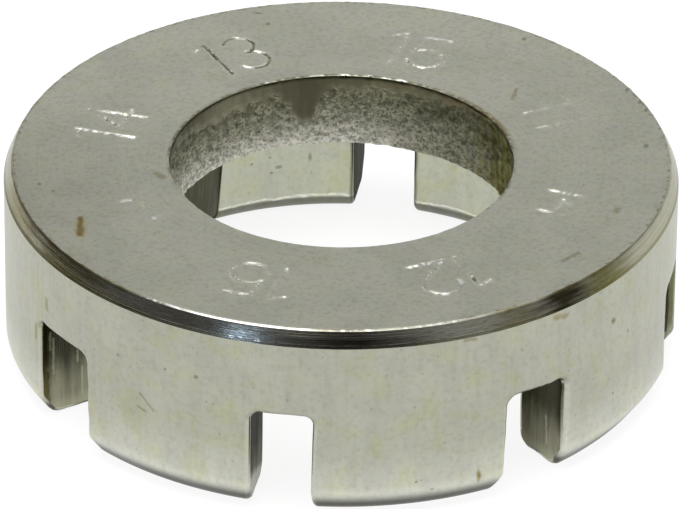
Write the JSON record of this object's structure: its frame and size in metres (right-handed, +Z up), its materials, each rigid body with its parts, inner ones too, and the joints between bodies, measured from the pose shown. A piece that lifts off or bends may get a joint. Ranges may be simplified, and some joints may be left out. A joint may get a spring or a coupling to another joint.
{
  "type": "spoke wrench",
  "caption": "Round steel spoke wrench: a shallow slotted cup with a hole in its face and a parallel slot for each nipple gauge.",
  "frame": {"origin": "on the axis of the hole, at the level of the jaw ends, at the bottom centre of the wrench as it stands mouth down", "axes": "+Z up along the axis of the hole, out of the numbered face; -Y through the middle of the narrowest 15 gauge slot; +X through the middle of a 14 gauge slot"},
  "size_m": [0.036, 0.036, 0.0112],
  "materials": {
    "plated_steel": "satin bright plating"
  },
  "bodies": {
    "root": {"face_ring": "plated_steel", "jaw_15_12": "plated_steel", "jaw_12_14": "plated_steel", "jaw_14_11": "plated_steel", "jaw_11_15": "plated_steel", "jaw_15_13": "plated_steel", "jaw_13_14": "plated_steel", "jaw_14_10": "plated_steel", "jaw_10_15": "plated_steel"}
  },
  "joints": []
}
